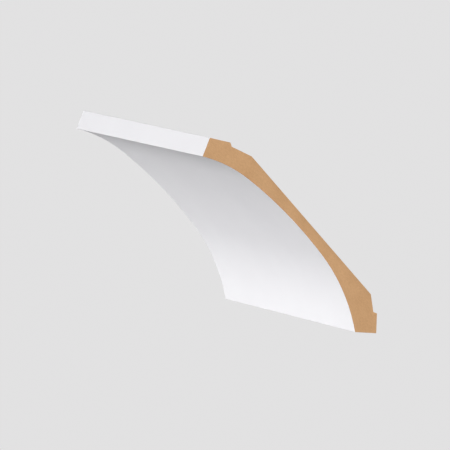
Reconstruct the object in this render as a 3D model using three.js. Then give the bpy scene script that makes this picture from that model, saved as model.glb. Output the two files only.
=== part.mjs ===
// Crown moulding: a short length of plain cove cornice, run from one thickness of
// MDF board that springs at 45 degrees between wall and ceiling, cut square at both ends.
//
// Millimetres. X runs along the length, Y points into the wall, Z is up.
// The origin is the middle of the narrow seat that bears on the wall.
import * as THREE from 'three';

// ---- driving sizes ---------------------------------------------------------
const LENGTH = 120; // square-cut length along X
const SPRING = 45; // slope of the board between wall and ceiling, degrees
const BOARD = 16; // board thickness: cove chord to flat back

const WALL_SEAT = 8.4; // height of the upright seat on the wall
const LOWER_LIP = 10.1; // depth of the lower edge, wall to cove
const LOWER_LIP_RISE = 4; // the lower edge rises this much towards the room, degrees

const COVE_CHORD = 105.5; // straight distance across the cove, lower edge to lip
const COVE_DEPTH = 11.5; // deepest point of the cove, below its chord
const COVE_APEX = 57; // where that is, measured along the chord from the lip
const COVE_R_LIP = 63.5; // radius of the cove next to the lip
const COVE_R_MID = 205; // radius of the long middle sweep
const COVE_R_LOW = 77.5; // radius of the cove next to the lower edge

const LIP_FACE = 8.3; // height of the upper lip's face
const LIP_SLOPE = 68.6; // slope of that face, leaning out at its foot, degrees

const CEILING_SEAT = 9.85; // depth of the seat under the ceiling
const SEAT_UNDERCUT = 12; // the seat falls away behind its front arris, degrees

const UPPER_STEP = 1.9; // small step behind the ceiling seat
const UPPER_STEP_SLOPE = 68;
const UPPER_RELIEF_SLOPE = 23.5; // splay from that step to the flat back

const LOWER_STEP = 1.83; // small step above the wall seat
const LOWER_STEP_SLOPE = 18.8;
const LOWER_RELIEF_SLOPE = 78.3; // splay from that step to the flat back

const COVE_STEPS = [16, 14, 20]; // facets of the three cove radii, lip to lower edge

// ---- small helpers -----------------------------------------------------------
const rad = (degrees) => (degrees * Math.PI) / 180;
const V = (x, y) => new THREE.Vector2(x, y);

// a point at a distance from another, heading given in degrees from +Y towards +Z
const go = (from, distance, heading) =>
  V(from.x + distance * Math.cos(rad(heading)), from.y + distance * Math.sin(rad(heading)));

// where a line leaving a point on a heading reaches the board's flat back
function toBack(from, heading, lip, normal) {
  const d = V(Math.cos(rad(heading)), Math.sin(rad(heading)));
  const gap = BOARD - from.clone().sub(lip).dot(normal);
  return from.clone().addScaledVector(d, gap / d.dot(normal));
}

// The cove is three arcs that run into each other without a kink. In (along, deep)
// coordinates on its chord, the middle arc is centred under the apex, and each outer
// arc touches it from inside and ends on the chord.
function coveOutline(lip, low) {
  const chord = low.clone().sub(lip);
  const along = chord.clone().normalize();
  const deep = V(-along.y, along.x);
  const start = V(0, 0);
  const end = V(chord.length(), 0);
  const mid = V(COVE_APEX, COVE_DEPTH - COVE_R_MID);

  const outerCentre = (foot, r) => {
    const toMid = mid.clone().sub(foot);
    const span = toMid.length();
    const e = toMid.clone().normalize();
    const a = (r * r - (COVE_R_MID - r) ** 2 + span * span) / (2 * span);
    const h = Math.sqrt(r * r - a * a);
    const one = V(foot.x + a * e.x - h * e.y, foot.y + a * e.y + h * e.x);
    const two = V(foot.x + a * e.x + h * e.y, foot.y + a * e.y - h * e.x);
    return one.y > two.y ? one : two;
  };
  const c1 = outerCentre(start, COVE_R_LIP);
  const c2 = outerCentre(end, COVE_R_LOW);
  const touch = (c) => c.clone().sub(mid).setLength(COVE_R_MID).add(mid);
  const t1 = touch(c1);
  const t2 = touch(c2);

  const points = [];
  const arc = (c, r, p, q, steps, first) => {
    const a0 = Math.atan2(p.y - c.y, p.x - c.x);
    const a1 = Math.atan2(q.y - c.y, q.x - c.x);
    for (let i = first; i <= steps; i++) {
      const a = a0 + ((a1 - a0) * i) / steps;
      points.push(V(c.x + r * Math.cos(a), c.y + r * Math.sin(a)));
    }
  };
  arc(c1, COVE_R_LIP, start, t1, COVE_STEPS[0], 0);
  arc(mid, COVE_R_MID, t1, t2, COVE_STEPS[1], 1);
  arc(c2, COVE_R_LOW, t2, end, COVE_STEPS[2], 1);
  return points.map((p) => lip.clone().addScaledVector(along, p.x).addScaledVector(deep, p.y));
}

// ---- profile in the Y-Z plane ---------------------------------------------------
function profile() {
  const heel = V(0, -WALL_SEAT / 2); // lower back arris, on the wall
  const seatTop = V(0, WALL_SEAT / 2);
  const low = go(heel, LOWER_LIP, 180 - LOWER_LIP_RISE); // cove meets the lower edge
  const lip = go(low, COVE_CHORD, 180 - SPRING); // cove meets the lip
  const crown = go(lip, LIP_FACE, LIP_SLOPE); // front arris, on the ceiling
  const seatBack = go(crown, CEILING_SEAT, -SEAT_UNDERCUT);
  const stepFoot = go(seatBack, UPPER_STEP, -UPPER_STEP_SLOPE);
  const lowStep = go(seatTop, LOWER_STEP, 180 - LOWER_STEP_SLOPE);
  const normal = V(Math.sin(rad(SPRING)), Math.cos(rad(SPRING))); // out of the flat back
  const backTop = toBack(stepFoot, -UPPER_RELIEF_SLOPE, lip, normal);
  const backLow = toBack(lowStep, 180 - LOWER_RELIEF_SLOPE, lip, normal);
  return [
    ...coveOutline(lip, low),
    heel,
    seatTop,
    lowStep,
    backLow,
    backTop,
    stepFoot,
    seatBack,
    crown,
  ];
}

// ---- the moulding ------------------------------------------------------------------
const body = new THREE.ExtrudeGeometry(new THREE.Shape(profile()), {
  depth: LENGTH,
  steps: 1,
  bevelEnabled: false,
});
body.translate(0, 0, -LENGTH / 2);

const whiteCoat = new THREE.MeshStandardMaterial({
  color: 0xf0edf0,
  roughness: 0.55,
  metalness: 0,
});

const moulding = new THREE.Mesh(body, whiteCoat);
moulding.name = 'cove_moulding';
// the profile's plane becomes Y-Z, and the extrusion runs along X
moulding.setRotationFromMatrix(
  new THREE.Matrix4().makeBasis(
    new THREE.Vector3(0, 1, 0),
    new THREE.Vector3(0, 0, 1),
    new THREE.Vector3(1, 0, 0),
  ),
);

const crownMoulding = new THREE.Group();
crownMoulding.name = 'crown_moulding_length';
crownMoulding.add(moulding);

export default crownMoulding;
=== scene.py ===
import math

import bmesh
import bpy
from mathutils import Matrix, Vector


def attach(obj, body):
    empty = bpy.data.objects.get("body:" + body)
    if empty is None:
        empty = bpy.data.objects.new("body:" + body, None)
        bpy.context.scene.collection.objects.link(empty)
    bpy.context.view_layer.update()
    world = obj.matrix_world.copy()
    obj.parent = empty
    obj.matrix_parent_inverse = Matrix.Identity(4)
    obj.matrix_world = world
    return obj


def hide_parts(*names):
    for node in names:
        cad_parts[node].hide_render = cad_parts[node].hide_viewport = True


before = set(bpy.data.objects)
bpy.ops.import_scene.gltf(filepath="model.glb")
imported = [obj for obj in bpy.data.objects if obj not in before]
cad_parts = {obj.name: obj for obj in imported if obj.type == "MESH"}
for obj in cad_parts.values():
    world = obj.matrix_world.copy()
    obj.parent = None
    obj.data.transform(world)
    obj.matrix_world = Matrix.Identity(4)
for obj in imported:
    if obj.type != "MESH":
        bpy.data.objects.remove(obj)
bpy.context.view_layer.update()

MM = 0.001

# ---------------------------------------------------------------------------
# Sizes of the moulding, in millimetres and degrees. X runs along the length,
# Y points into the wall, Z is up, and the origin is the middle of the wall seat.
# ---------------------------------------------------------------------------
LENGTH = 120.0
SPRING = 45.0
BOARD = 16.0
WALL_SEAT = 8.4
LOWER_LIP, LOWER_LIP_RISE = 10.1, 4.0
COVE_CHORD, COVE_DEPTH, COVE_APEX = 105.5, 11.5, 57.0
COVE_R_LIP, COVE_R_MID, COVE_R_LOW = 63.5, 205.0, 77.5
LIP_FACE, LIP_SLOPE = 8.3, 68.6
CEILING_SEAT, SEAT_UNDERCUT = 9.85, 12.0
UPPER_STEP, UPPER_STEP_SLOPE, UPPER_RELIEF_SLOPE = 1.9, 68.0, 23.5
LOWER_STEP, LOWER_STEP_SLOPE, LOWER_RELIEF_SLOPE = 1.83, 18.8, 78.3

CUT_EASE = 0.06  # the saw-cut edge is broken by about this much
COVE_STEPS = (34, 26, 40)  # facets of the three cove radii, lip to lower edge


# ---------------------------------------------------------------------------
# Profile
# ---------------------------------------------------------------------------
def go(p, distance, heading):
    h = math.radians(heading)
    return Vector((p.x + distance * math.cos(h), p.y + distance * math.sin(h)))


heel = Vector((0.0, -WALL_SEAT / 2))
seat_top = Vector((0.0, WALL_SEAT / 2))
low = go(heel, LOWER_LIP, 180 - LOWER_LIP_RISE)
lip = go(low, COVE_CHORD, 180 - SPRING)
crown = go(lip, LIP_FACE, LIP_SLOPE)
seat_back = go(crown, CEILING_SEAT, -SEAT_UNDERCUT)
step_foot = go(seat_back, UPPER_STEP, -UPPER_STEP_SLOPE)
low_step = go(seat_top, LOWER_STEP, 180 - LOWER_STEP_SLOPE)
across = Vector((math.sin(math.radians(SPRING)), math.cos(math.radians(SPRING))))


def to_back(p, heading):
    d = go(Vector((0.0, 0.0)), 1.0, heading)
    return p + d * ((BOARD - (p - lip).dot(across)) / d.dot(across))


back_top = to_back(step_foot, -UPPER_RELIEF_SLOPE)
back_low = to_back(low_step, 180 - LOWER_RELIEF_SLOPE)


def cove_points():
    """The cove from the lip to the lower edge: three arcs that touch without a kink."""
    chord = low - lip
    along = chord.normalized()
    deep = Vector((-along.y, along.x))
    start, end = Vector((0.0, 0.0)), Vector((chord.length, 0.0))
    mid = Vector((COVE_APEX, COVE_DEPTH - COVE_R_MID))

    def outer(foot, r):
        to_mid = mid - foot
        span = to_mid.length
        e = to_mid / span
        a = (r * r - (COVE_R_MID - r) ** 2 + span * span) / (2 * span)
        h = math.sqrt(r * r - a * a)
        one = foot + a * e + h * Vector((-e.y, e.x))
        two = foot + a * e - h * Vector((-e.y, e.x))
        return one if one.y > two.y else two

    c1, c2 = outer(start, COVE_R_LIP), outer(end, COVE_R_LOW)
    t1 = mid + (c1 - mid).normalized() * COVE_R_MID
    t2 = mid + (c2 - mid).normalized() * COVE_R_MID
    out = []
    for c, r, p, q, steps in (
        (c1, COVE_R_LIP, start, t1, COVE_STEPS[0]),
        (mid, COVE_R_MID, t1, t2, COVE_STEPS[1]),
        (c2, COVE_R_LOW, t2, end, COVE_STEPS[2]),
    ):
        a0 = math.atan2(p.y - c.y, p.x - c.x)
        a1 = math.atan2(q.y - c.y, q.x - c.x)
        for i in range(1 if out else 0, steps + 1):
            a = a0 + (a1 - a0) * i / steps
            out.append(c + r * Vector((math.cos(a), math.sin(a))))
    return [lip + along * p.x + deep * p.y for p in out]


COAT, SEAT_TOP, SEAT_WALL, RAW, BACK, CUT = range(6)

# The corners in turn, each with the radius that eases it, the finish of the run that
# leaves it, and the points inside that run.
cove = cove_points()
corners = [
    (crown, 0.20, COAT, []),
    (lip, 0.12, COAT, cove[1:-1]),
    (low, 0.15, COAT, []),
    (heel, 0.20, SEAT_WALL, []),
    (seat_top, 0.20, RAW, []),
    (low_step, 0.10, RAW, []),
    (back_low, 0.40, BACK, []),
    (back_top, 0.40, RAW, []),
    (step_foot, 0.10, RAW, []),
    (seat_back, 0.20, SEAT_TOP, []),
]


def eased_outline():
    """Closed outline as (point, finish of the segment that starts there)."""
    n = len(corners)
    guard = 0.12  # narrow flat strip beside each eased corner keeps the flats flat
    out = []
    for i, (c, r, finish, inner) in enumerate(corners):
        before = corners[i - 1]
        prev = before[3][-1] if before[3] else before[0]
        nxt = inner[0] if inner else corners[(i + 1) % n][0]
        d0, d1 = (prev - c).normalized(), (nxt - c).normalized()
        half = math.acos(max(-1.0, min(1.0, d0.dot(d1)))) / 2
        t = r / math.tan(half)
        centre = c + (d0 + d1).normalized() * (r / math.sin(half))
        p0, p1 = c + d0 * t, c + d1 * t
        turn = math.pi - 2 * half
        steps = max(2, math.ceil(math.degrees(turn) / 14))
        a0 = math.atan2(p0.y - centre.y, p0.x - centre.x)
        a1 = math.atan2(p1.y - centre.y, p1.x - centre.x)
        while a1 - a0 > math.pi:
            a1 -= 2 * math.pi
        while a1 - a0 < -math.pi:
            a1 += 2 * math.pi
        edge = before[2] if before[2] == COAT else finish
        out.append((p0 + d0 * guard, before[2]))
        for k in range(steps + 1):
            a = a0 + (a1 - a0) * k / steps
            out.append((centre + r * Vector((math.cos(a), math.sin(a))), edge if k < steps else finish))
        if not inner or (inner[0] - p1).length > 2.5 * guard:
            out.append((p1 + d1 * guard, finish))
        for p in inner:
            if (p - p1).length > 2.0 * guard:
                out.append((p, finish))
    return out


outline = eased_outline()


def inset(points, by):
    n = len(points)
    out = []
    area = sum(
        points[i].x * points[(i + 1) % n].y - points[(i + 1) % n].x * points[i].y
        for i in range(n)
    )
    s = 1.0 if area > 0 else -1.0
    for i, p in enumerate(points):
        a, b = (p - points[i - 1]).normalized(), (points[(i + 1) % n] - p).normalized()
        na, nb = Vector((-a.y, a.x)) * s, Vector((-b.y, b.x)) * s
        m = (na + nb).normalized()
        out.append(p + m * (by / max(0.5, m.dot(na))))
    return out


def moulding_mesh():
    points = [p for p, _ in outline]
    finish = [f for _, f in outline]
    inner = inset(points, CUT_EASE)
    half = LENGTH / 2
    stations = [-half + CUT_EASE + (LENGTH - 2 * CUT_EASE) * i / 24 for i in range(25)]
    bm = bmesh.new()
    rings = [[bm.verts.new((-half * MM, p.x * MM, p.y * MM)) for p in inner]]
    for x in stations:
        rings.append([bm.verts.new((x * MM, p.x * MM, p.y * MM)) for p in points])
    rings.append([bm.verts.new((half * MM, p.x * MM, p.y * MM)) for p in inner])
    n = len(points)
    for k, (r0, r1) in enumerate(zip(rings, rings[1:])):
        at_cut = k in (0, len(rings) - 2)
        for i in range(n):
            j = (i + 1) % n
            f = bm.faces.new((r0[i], r0[j], r1[j], r1[i]))
            f.material_index = CUT if at_cut else finish[i]
            f.smooth = True
    caps = [bm.faces.new(list(reversed(rings[0]))), bm.faces.new(rings[-1])]
    for f in caps:
        f.material_index = CUT
        f.smooth = False
    bmesh.ops.recalc_face_normals(bm, faces=bm.faces)
    bmesh.ops.triangulate(bm, faces=caps, quad_method="BEAUTY", ngon_method="BEAUTY")
    me = bpy.data.meshes.new("cove_moulding_skin")
    bm.to_mesh(me)
    bm.free()
    me.set_sharp_from_angle(angle=math.radians(32))
    return me


# ---------------------------------------------------------------------------
# Materials
# ---------------------------------------------------------------------------
class Nodes:
    """Short hand for building a node tree."""

    def __init__(self, name):
        self.mat = bpy.data.materials.new(name)
        self.mat.use_nodes = True
        self.tree = self.mat.node_tree
        self.tree.nodes.clear()
        self.out = self.add("ShaderNodeOutputMaterial")
        self.bsdf = self.add("ShaderNodeBsdfPrincipled")
        self.link(self.bsdf.outputs[0], self.out.inputs["Surface"])
        self.place = self.add("ShaderNodeTexCoord").outputs["Object"]

    def add(self, kind, **values):
        node = self.tree.nodes.new(kind)
        for k, v in values.items():
            setattr(node, k, v)
        return node

    def link(self, a, b):
        self.tree.links.new(a, b)

    def math(self, op, a, b=None, clamp=False):
        node = self.add("ShaderNodeMath", operation=op, use_clamp=clamp)
        for socket, v in zip(node.inputs, (a, b)):
            if v is None:
                continue
            if isinstance(v, (int, float)):
                socket.default_value = v
            else:
                self.link(v, socket)
        return node.outputs[0]

    def along(self, direction, origin=(0.0, 0.0, 0.0)):
        """Distance in metres along a direction from a point."""
        sub = self.add("ShaderNodeVectorMath", operation="SUBTRACT")
        self.link(self.place, sub.inputs[0])
        sub.inputs[1].default_value = origin
        dot = self.add("ShaderNodeVectorMath", operation="DOT_PRODUCT")
        self.link(sub.outputs[0], dot.inputs[0])
        dot.inputs[1].default_value = direction
        return dot.outputs["Value"]

    def board(self, sx, sw, sd):
        """Coordinates along the length, across the board's width and through its thickness, each scaled."""
        c, s = across.x, across.y
        comb = self.add("ShaderNodeCombineXYZ")
        o = (0.0, lip.x * MM, lip.y * MM)
        self.link(self.math("MULTIPLY", self.along((1, 0, 0), o), sx), comb.inputs[0])
        self.link(self.math("MULTIPLY", self.along((0, s, -c), o), sw), comb.inputs[1])
        self.link(self.math("MULTIPLY", self.along((0, c, s), o), sd), comb.inputs[2])
        return comb.outputs[0]

    def noise(self, scale, detail=2.0, rough=0.5, vector=None):
        node = self.add("ShaderNodeTexNoise")
        self.link(vector or self.place, node.inputs["Vector"])
        node.inputs["Scale"].default_value = scale
        node.inputs["Detail"].default_value = detail
        node.inputs["Roughness"].default_value = rough
        return node.outputs[0]

    def ramp(self, value, lo, hi, to_lo=0.0, to_hi=1.0, smooth=False):
        node = self.add("ShaderNodeMapRange")
        node.interpolation_type = "SMOOTHSTEP" if smooth else "LINEAR"
        self.link(value, node.inputs["Value"])
        for key, v in (("From Min", lo), ("From Max", hi), ("To Min", to_lo), ("To Max", to_hi)):
            node.inputs[key].default_value = v
        return node.outputs[0]

    def mix(self, factor, a, b):
        node = self.add("ShaderNodeMix", data_type="RGBA")
        sockets = {s.identifier: s for s in node.inputs}
        self.link(factor, sockets["Factor_Float"])
        for key, v in (("A_Color", a), ("B_Color", b)):
            if isinstance(v, tuple):
                sockets[key].default_value = (*v, 1.0)
            else:
                self.link(v, sockets[key])
        return next(s for s in node.outputs if s.identifier == "Result_Color")

    def bump(self, height, strength, distance, normal=None):
        node = self.add("ShaderNodeBump")
        node.inputs["Strength"].default_value = strength
        node.inputs["Distance"].default_value = distance
        self.link(height, node.inputs["Height"])
        if normal is not None:
            self.link(normal, node.inputs["Normal"])
        return node.outputs[0]

    def set(self, key, value):
        socket = self.bsdf.inputs[key]
        if isinstance(value, (int, float)):
            socket.default_value = value
        elif isinstance(value, tuple):
            socket.default_value = (*value, 1.0)
        else:
            self.link(value, socket)


WHITE = (0.872, 0.866, 0.892)
WHITE_DIM = (0.856, 0.850, 0.877)
TAN = (0.560, 0.330, 0.165)


def coat_colour(n):
    """Sprayed white coat: almost even, with faint broad clouds."""
    clouds = n.ramp(n.noise(38.0, 3.0, 0.55), 0.35, 0.65)
    return n.mix(clouds, WHITE_DIM, WHITE)


def coat_height(n):
    """Fine spray texture, and very faint lines left by the cutter along the run."""
    peel = n.noise(1500.0, 2.0, 0.5)
    lines = n.noise(1.0, 2.0, 0.6, n.board(5.0, 700.0, 700.0))
    return n.math("ADD", n.math("MULTIPLY", peel, 0.6), n.math("MULTIPLY", lines, 0.4))


def coat_roughness(n):
    return n.ramp(n.noise(260.0, 3.0, 0.6), 0.3, 0.7, 0.50, 0.60)


def mdf_colour(n, base, faces=True):
    """Bare fibreboard: fine fibres lying in the plane of the board, darker and denser near its faces."""
    dark = tuple(v * k for v, k in zip(base, (0.80, 0.76, 0.70)))
    pale = tuple(min(1.0, v * k) for v, k in zip(base, (1.14, 1.17, 1.22)))
    fibre = n.noise(1.0, 4.0, 0.62, n.board(900.0, 900.0, 2400.0))
    mottle = n.noise(1.0, 3.0, 0.55, n.board(120.0, 120.0, 220.0))
    value = n.math("ADD", n.math("MULTIPLY", fibre, 0.65), n.math("MULTIPLY", mottle, 0.35))
    value = n.ramp(value, 0.22, 0.78)
    colour = n.mix(value, dark, pale)
    # scattered darker fibre bundles and pale flecks
    bundle = n.noise(1.0, 2.0, 0.5, n.board(700.0, 700.0, 2600.0))
    colour = n.mix(n.ramp(bundle, 0.66, 0.76, 0.0, 0.35, True), colour, tuple(v * 0.55 for v in base))
    fleck = n.noise(1.0, 1.0, 0.5, n.board(1500.0, 1300.0, 3600.0))
    colour = n.mix(n.ramp(fleck, 0.70, 0.80, 0.0, 0.35, True), colour, pale)
    if faces:
        depth = n.along((0.0, across.x, across.y), (0.0, lip.x * MM, lip.y * MM))
        skin = n.ramp(depth, (BOARD - 2.2) * MM, BOARD * MM, 0.0, 0.22, True)
        colour = n.mix(skin, colour, tuple(v * 0.72 for v in base))
    return colour, fibre


def coat_material():
    n = Nodes("white_coat")
    n.set("Base Color", coat_colour(n))
    n.set("Roughness", coat_roughness(n))
    n.set("Normal", n.bump(coat_height(n), 0.10, 0.00004))
    n.bsdf.inputs["Specular IOR Level"].default_value = 0.35
    return n.mat


def end_material():
    n = Nodes("bare_mdf_cut_end")
    colour, fibre = mdf_colour(n, TAN)
    # shallow arcs left by the saw blade
    o = n.add("ShaderNodeMapping")
    n.link(n.place, o.inputs["Vector"])
    o.inputs["Location"].default_value = (0.0, 0.165, 0.06)
    saw = n.add("ShaderNodeTexWave", wave_type="RINGS", rings_direction="X", wave_profile="SIN")
    n.link(o.outputs[0], saw.inputs["Vector"])
    saw.inputs["Scale"].default_value = 210.0
    saw.inputs["Distortion"].default_value = 1.6
    saw.inputs["Detail"].default_value = 2.0
    saw.inputs["Detail Scale"].default_value = 0.6
    arcs = saw.outputs["Fac"]
    colour = n.mix(n.ramp(arcs, 0.0, 1.0, 0.0, 0.05), colour, tuple(v * 0.6 for v in TAN))
    n.set("Base Color", colour)
    n.set("Roughness", n.ramp(fibre, 0.3, 0.7, 0.92, 0.80))
    height = n.math("ADD", n.math("MULTIPLY", fibre, 0.7), n.math("MULTIPLY", arcs, 0.3))
    n.set("Normal", n.bump(height, 0.25, 0.00008))
    n.bsdf.inputs["Specular IOR Level"].default_value = 0.25
    return n.mat


def raw_material():
    """Moulded but uncoated faces behind the seats: cut by the same knives, so faintly lined along the run."""
    n = Nodes("bare_mdf_moulded")
    colour, fibre = mdf_colour(n, tuple(v * k for v, k in zip(TAN, (0.98, 0.97, 0.95))), False)
    n.set("Base Color", colour)
    n.set("Roughness", n.ramp(fibre, 0.3, 0.7, 0.88, 0.76))
    lines = n.noise(1.0, 2.0, 0.6, n.board(6.0, 900.0, 900.0))
    height = n.math("ADD", n.math("MULTIPLY", fibre, 0.5), n.math("MULTIPLY", lines, 0.5))
    n.set("Normal", n.bump(height, 0.25, 0.00006))
    n.bsdf.inputs["Specular IOR Level"].default_value = 0.25
    return n.mat


def back_material():
    """The board's own sanded face: smoother and a little paler, with fine sanding lines along the run."""
    n = Nodes("bare_mdf_sanded_back")
    base = tuple(v * k for v, k in zip(TAN, (1.02, 1.05, 1.10)))
    colour, fibre = mdf_colour(n, base, False)
    sand = n.noise(1.0, 3.0, 0.65, n.board(14.0, 1600.0, 1600.0))
    colour = n.mix(n.ramp(sand, 0.35, 0.75, 0.0, 0.16), colour, tuple(v * 0.78 for v in base))
    n.set("Base Color", colour)
    n.set("Roughness", n.ramp(sand, 0.3, 0.7, 0.62, 0.74))
    height = n.math("ADD", n.math("MULTIPLY", fibre, 0.35), n.math("MULTIPLY", sand, 0.65))
    n.set("Normal", n.bump(height, 0.18, 0.00005))
    n.bsdf.inputs["Specular IOR Level"].default_value = 0.30
    return n.mat


def seat_material(name, start, direction, reach, feather):
    """A seat that the spray only just reached: coated at its arris, bare behind."""
    n = Nodes(name)
    d = (0.0, direction.x, direction.y)
    q = n.along(d, (0.0, start.x * MM, start.y * MM))
    ragged = n.math("MULTIPLY", n.math("SUBTRACT", n.noise(90.0, 2.0, 0.5), 0.5), 0.9 * MM)
    dust = n.math("MULTIPLY", n.math("SUBTRACT", n.noise(2600.0, 1.0, 0.5), 0.5), 1.6 * MM)
    edge = n.math("ADD", q, n.math("ADD", ragged, dust))
    cover = n.ramp(edge, reach * MM, (reach + feather) * MM, 1.0, 0.0, True)
    raw, fibre = mdf_colour(n, tuple(v * k for v, k in zip(TAN, (0.98, 0.97, 0.95))), False)
    n.set("Base Color", n.mix(cover, raw, coat_colour(n)))
    n.set("Roughness", n.ramp(cover, 0.0, 1.0, 0.82, 0.56))
    n.set("Normal", n.bump(fibre, 0.20, 0.00005))
    n.bsdf.inputs["Specular IOR Level"].default_value = 0.30
    return n.mat


moulding = bpy.data.objects.new("moulding_run", moulding_mesh())
bpy.context.scene.collection.objects.link(moulding)
for m in (
    coat_material(),
    seat_material("ceiling_seat_overspray", crown, (seat_back - crown).normalized(), 2.6, 2.4),
    seat_material("wall_seat_overspray", heel, (seat_top - heel).normalized(), 1.6, 1.8),
    raw_material(),
    back_material(),
    end_material(),
):
    moulding.data.materials.append(m)
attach(moulding, "root")
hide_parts("cove_moulding")

# ---------------------------------------------------------------------------
# Camera: a long lens from the room side, close to the line of the moulding
# ---------------------------------------------------------------------------
AZIMUTH, ELEVATION, ROLL = 62.896, 5.842, 2.143
TARGET = Vector((0.0, -0.042, 0.0368))
SHIFT_RIGHT, SHIFT_UP, DISTANCE = -0.432 * MM, -1.245 * MM, 3175.707 * MM
FOCAL_PX, FRAME_PX = 7500.0, 450.0

a, e, roll = (math.radians(v) for v in (AZIMUTH, ELEVATION, ROLL))
back = Vector((math.cos(e) * math.sin(a), -math.cos(e) * math.cos(a), math.sin(e)))
right = Vector((math.cos(a), math.sin(a), 0.0))
up = back.cross(right)
right, up = (
    math.cos(roll) * right + math.sin(roll) * up,
    -math.sin(roll) * right + math.cos(roll) * up,
)
camera = bpy.data.objects.new("camera", bpy.data.cameras.new("camera"))
bpy.context.scene.collection.objects.link(camera)
camera.data.sensor_fit = "HORIZONTAL"
camera.data.sensor_width = 36.0
camera.data.lens = FOCAL_PX / FRAME_PX * 36.0
camera.data.clip_start, camera.data.clip_end = 0.05, 60.0
eye = TARGET + right * SHIFT_RIGHT + up * SHIFT_UP + back * DISTANCE
camera.matrix_world = Matrix(
    (
        (right.x, up.x, back.x, eye.x),
        (right.y, up.y, back.y, eye.y),
        (right.z, up.z, back.z, eye.z),
        (0.0, 0.0, 0.0, 1.0),
    )
)
bpy.context.scene.camera = camera

# ---------------------------------------------------------------------------
# Studio: pale floor, soft light from the room side
# ---------------------------------------------------------------------------
FLOOR_Z = -4.0  # the moulding is fixed high up: its shadow is lost, and it can be seen from below
PALE = (1.0, 0.995, 1.0, 1.0)
PALE_LEVEL = 0.76


def soft_light(name, bearing, height, distance, size, strength):
    """A square soft box aimed at the moulding; strength is about the light it gives a white surface that faces it."""
    data = bpy.data.lights.new(name, "AREA")
    data.shape = "SQUARE"
    data.size = size
    data.energy = strength * math.pi**2 * distance**2
    o = bpy.data.objects.new(name, data)
    bpy.context.scene.collection.objects.link(o)
    b, h = math.radians(bearing), math.radians(height)
    d = Vector((math.cos(h) * math.sin(b), -math.cos(h) * math.cos(b), math.sin(h)))
    o.location = TARGET + d * distance
    o.rotation_mode = "QUATERNION"
    o.rotation_quaternion = d.to_track_quat("Z", "Y")
    o.visible_camera = False
    return o


# bearing is measured from the room side (0) towards the near end (90)
for name, bearing, height, strength in (
    ("room_box", 20.0, 0.0, 0.28),
    ("upper_box", 20.0, 15.0, 0.55),
    ("far_fill", -60.0, -15.0, 0.185),
    ("low_fill", -60.0, -30.0, 0.17),
    ("right_box", 90.0, 0.0, 0.53),
    ("left_box", -90.0, 0.0, 0.40),
    ("rear_right_box", 150.0, 35.0, 0.45),
    ("rear_left_box", -150.0, 35.0, 0.45),
):
    soft_light(name, bearing, height, 2.0, 1.2, strength)

world = bpy.data.worlds.new("studio")
bpy.context.scene.world = world
world.use_nodes = True
wt = world.node_tree
wt.nodes.clear()
w_out = wt.nodes.new("ShaderNodeOutputWorld")
w_bg = wt.nodes.new("ShaderNodeBackground")
w_bg.inputs["Color"].default_value = PALE
w_bg.inputs["Strength"].default_value = 0.14
w_seen = wt.nodes.new("ShaderNodeBackground")
w_seen.inputs["Color"].default_value = PALE
w_seen.inputs["Strength"].default_value = PALE_LEVEL
w_path = wt.nodes.new("ShaderNodeLightPath")
w_mix = wt.nodes.new("ShaderNodeMixShader")
wt.links.new(w_path.outputs["Is Camera Ray"], w_mix.inputs[0])
wt.links.new(w_bg.outputs[0], w_mix.inputs[1])
wt.links.new(w_seen.outputs[0], w_mix.inputs[2])
wt.links.new(w_mix.outputs[0], w_out.inputs["Surface"])

bm = bmesh.new()
bmesh.ops.create_grid(bm, x_segments=1, y_segments=1, size=30.0)
floor_mesh = bpy.data.meshes.new("floor")
bm.to_mesh(floor_mesh)
bm.free()
floor = bpy.data.objects.new("floor", floor_mesh)
bpy.context.scene.collection.objects.link(floor)
floor.location.z = FLOOR_Z
fm = bpy.data.materials.new("pale_floor")
fm.use_nodes = True
fm.node_tree.nodes.clear()
f_out = fm.node_tree.nodes.new("ShaderNodeOutputMaterial")
f_tone = fm.node_tree.nodes.new("ShaderNodeEmission")
f_tone.inputs["Color"].default_value = PALE
f_tone.inputs["Strength"].default_value = PALE_LEVEL
fm.node_tree.links.new(f_tone.outputs[0], f_out.inputs["Surface"])
floor_mesh.materials.append(fm)
floor.visible_diffuse = floor.visible_glossy = floor.visible_shadow = False

view = bpy.context.scene.view_settings
view.view_transform = "Standard"
view.look = "None"
view.exposure = 0.0
view.gamma = 1.0
